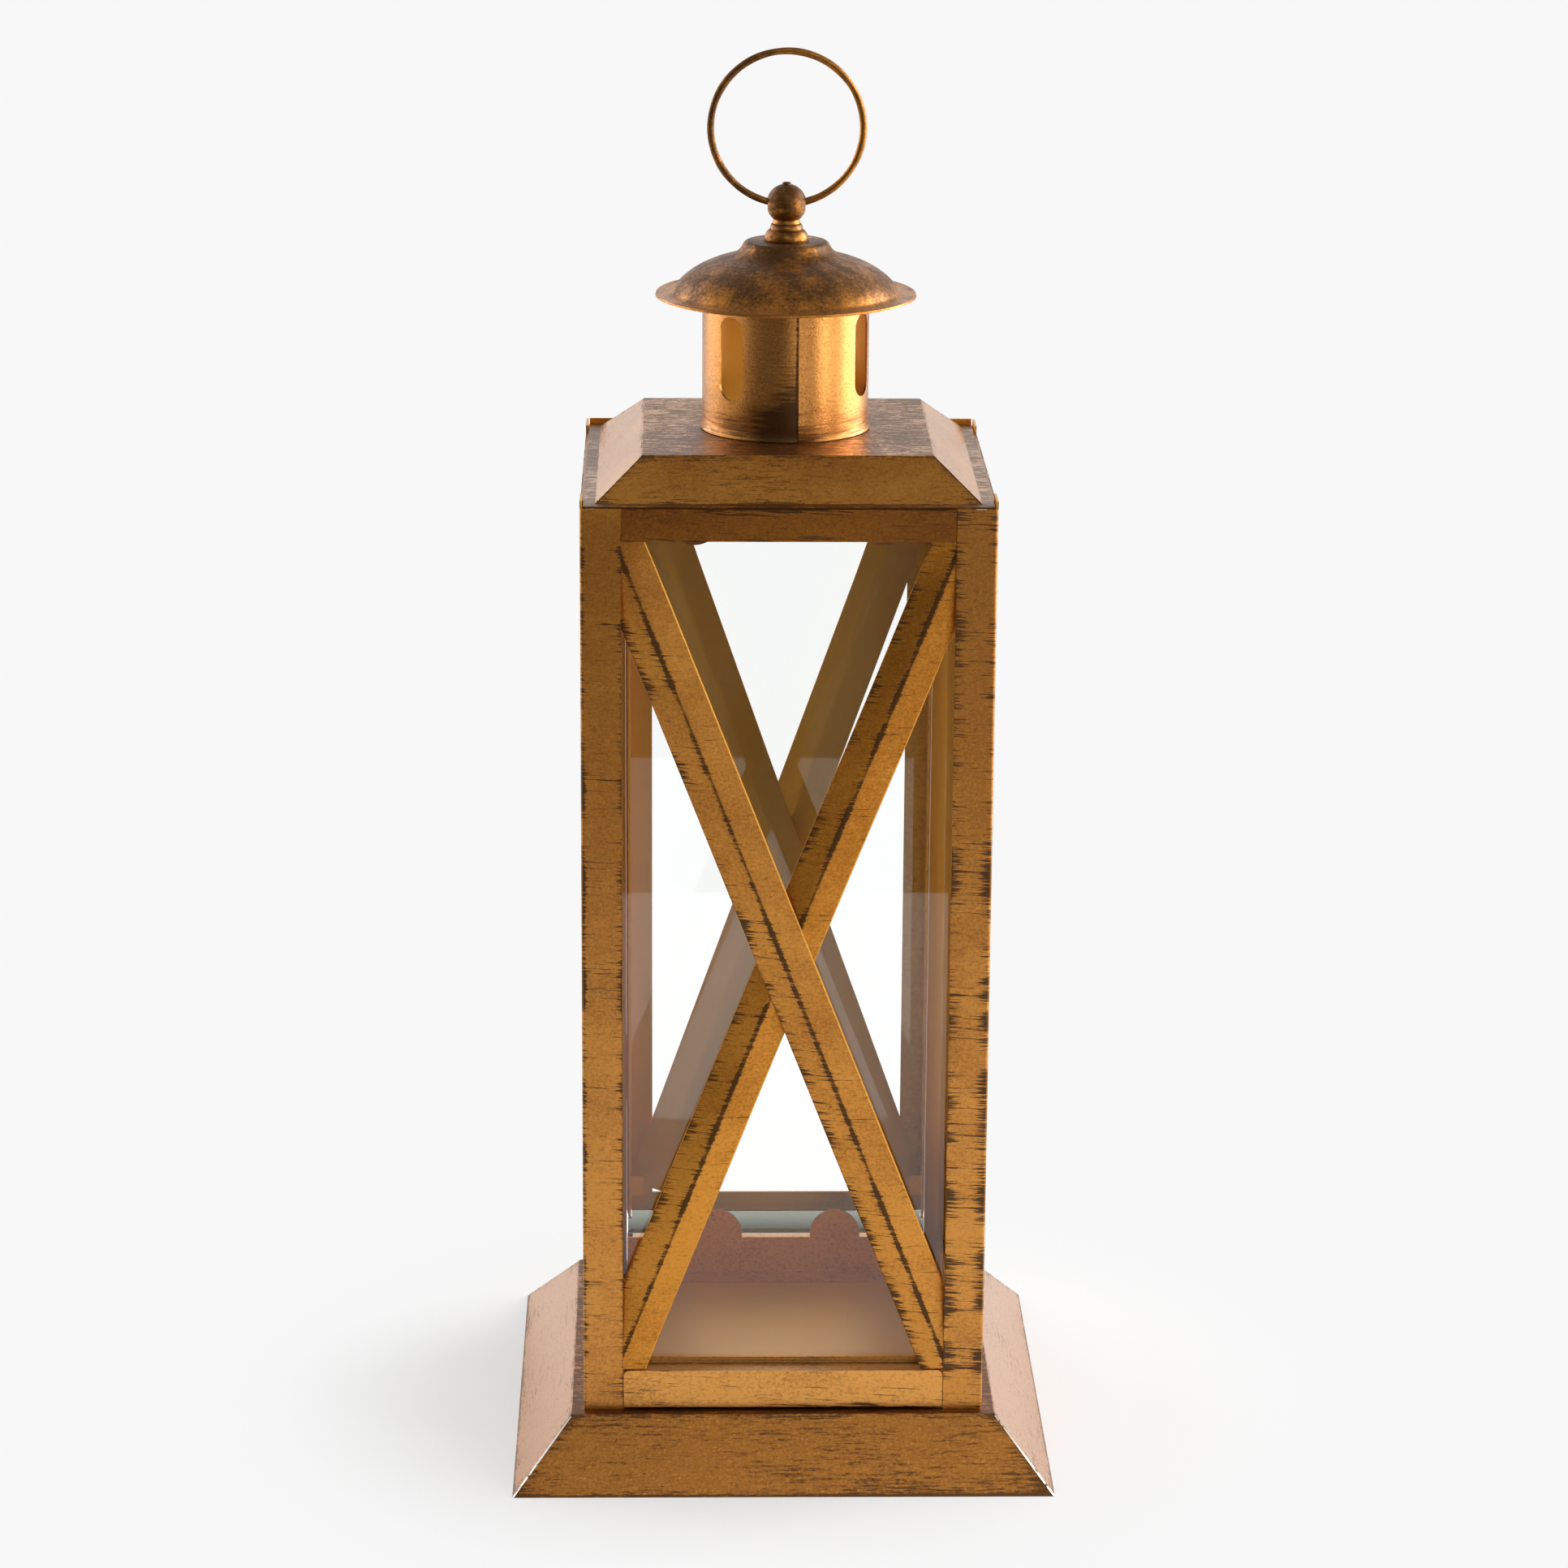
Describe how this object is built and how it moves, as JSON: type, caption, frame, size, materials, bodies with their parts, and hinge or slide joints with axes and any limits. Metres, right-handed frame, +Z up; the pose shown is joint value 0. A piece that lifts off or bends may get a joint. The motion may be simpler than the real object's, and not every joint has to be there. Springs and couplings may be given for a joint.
{
  "type": "lantern",
  "caption": "Tall square lantern of antique gold sheet metal with crossed arms, glass panes, a hinged back door, vented chimney, spun cap and carrying ring.",
  "frame": {"origin": "centre of the plinth's foot, on the surface it stands on", "axes": "+Z up, the front faces -Y and the door is at +Y, +X to the right seen from the front"},
  "size_m": [0.2026, 0.2026, 0.5263],
  "materials": {
    "antique_gold": "antique gold paint, brushed dark along the edges",
    "dark_gold": "the same paint with a dark brown patina",
    "bright_gold": "satin gold paint, worn brighter",
    "plain_steel": "zinc-plated",
    "clear_glass": "clear float glass, 2 mm"
  },
  "bodies": {
    "lantern": {"base_plinth": "antique_gold", "front_left_post": "antique_gold", "front_right_post": "antique_gold", "rear_left_post": "antique_gold", "rear_right_post": "antique_gold", "front_sill": "antique_gold", "right_sill": "antique_gold", "left_sill": "antique_gold", "rear_sill": "antique_gold", "front_header": "antique_gold", "right_header": "antique_gold", "left_header": "antique_gold", "rear_header": "antique_gold", "front_arm_over": "antique_gold", "front_arm_under": "antique_gold", "right_arm_over": "antique_gold", "right_arm_under": "antique_gold", "left_arm_over": "antique_gold", "left_arm_under": "antique_gold", "roof": "antique_gold", "floor_plate": "dark_gold", "cap": "dark_gold", "finial_ball": "dark_gold", "turn_button_rivet": "dark_gold", "lower_hinge_post_leaf": "dark_gold", "lower_hinge_pin": "dark_gold", "upper_hinge_post_leaf": "dark_gold", "upper_hinge_pin": "dark_gold", "chimney_tube": "bright_gold", "finial_foot": "bright_gold", "cap_washer": "plain_steel", "cap_nut": "plain_steel", "front_pane": "clear_glass", "right_pane": "clear_glass", "left_pane": "clear_glass"},
    "door": {"door_hinge_stile": "antique_gold", "door_latch_stile": "antique_gold", "door_bottom_rail": "antique_gold", "door_top_rail": "antique_gold", "door_pane": "clear_glass", "door_arm_over": "antique_gold", "door_arm_under": "antique_gold", "lower_hinge_door_leaf": "dark_gold", "upper_hinge_door_leaf": "dark_gold"},
    "turn_button": {"turn_button": "dark_gold"},
    "ring": {"ring_handle": "dark_gold"}
  },
  "joints": [
    {"name": "door_hinge", "type": "hinge", "parent": "lantern", "child": "door", "pos_m": [-0.0597, 0.0773, 0.204], "axis": [0, 0, 1], "range_deg": [0, 170]},
    {"name": "turn_button_pivot", "type": "hinge", "parent": "lantern", "child": "turn_button", "pos_m": [0.0676, 0.0764, 0.205], "axis": [0, 1, 0], "continuous": true},
    {"name": "ring_swing", "type": "hinge", "parent": "lantern", "child": "ring", "pos_m": [0, 0, 0.469], "axis": [1, 0, 0], "range_deg": [-120, 120]}
  ]
}
